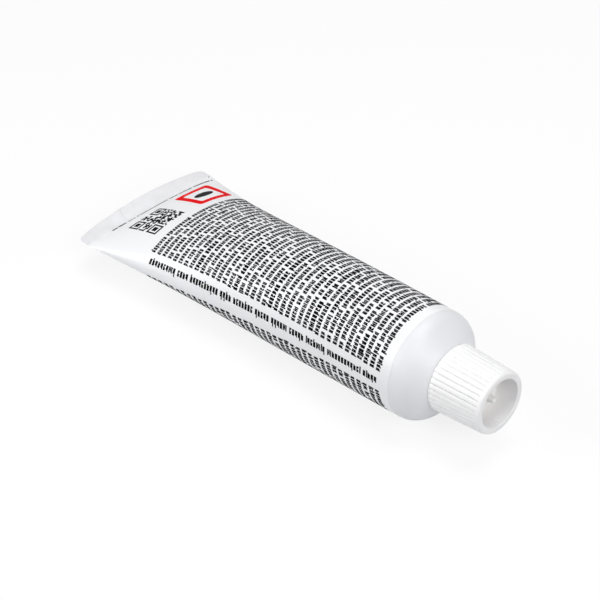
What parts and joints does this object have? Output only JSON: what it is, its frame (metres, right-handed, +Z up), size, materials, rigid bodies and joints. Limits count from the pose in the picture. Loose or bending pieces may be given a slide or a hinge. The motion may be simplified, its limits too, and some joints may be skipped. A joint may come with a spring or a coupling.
{
  "type": "hardener tube",
  "caption": "White squeeze tube of hardener cream lying on its side, sealed flat at one end, printed with rows of small dark marks, with a ribbed white screw cap.",
  "frame": {"origin": "on the floor, under the middle of the tube's outline", "axes": "+X from the sealed end to the cap, +Y across, +Z up"},
  "size_m": [0.129, 0.044, 0.0289],
  "materials": {
    "white_laminate": "satin",
    "white_moulding": "satin",
    "foil": "satin",
    "cap_plastic": "matte",
    "dark_ink": "matte",
    "red_ink": "matte"
  },
  "bodies": {
    "tube": {"sleeve": "white_laminate", "head": "white_moulding", "mouth_foil": "foil", "print_dark": "dark_ink", "print_red": "red_ink"},
    "cap": {"cap": "cap_plastic"}
  },
  "joints": [
    {"name": "cap_off", "type": "slide", "parent": "tube", "child": "cap", "axis": [0.9982, 0, 0.0599], "range_m": [0, 0.024]}
  ]
}
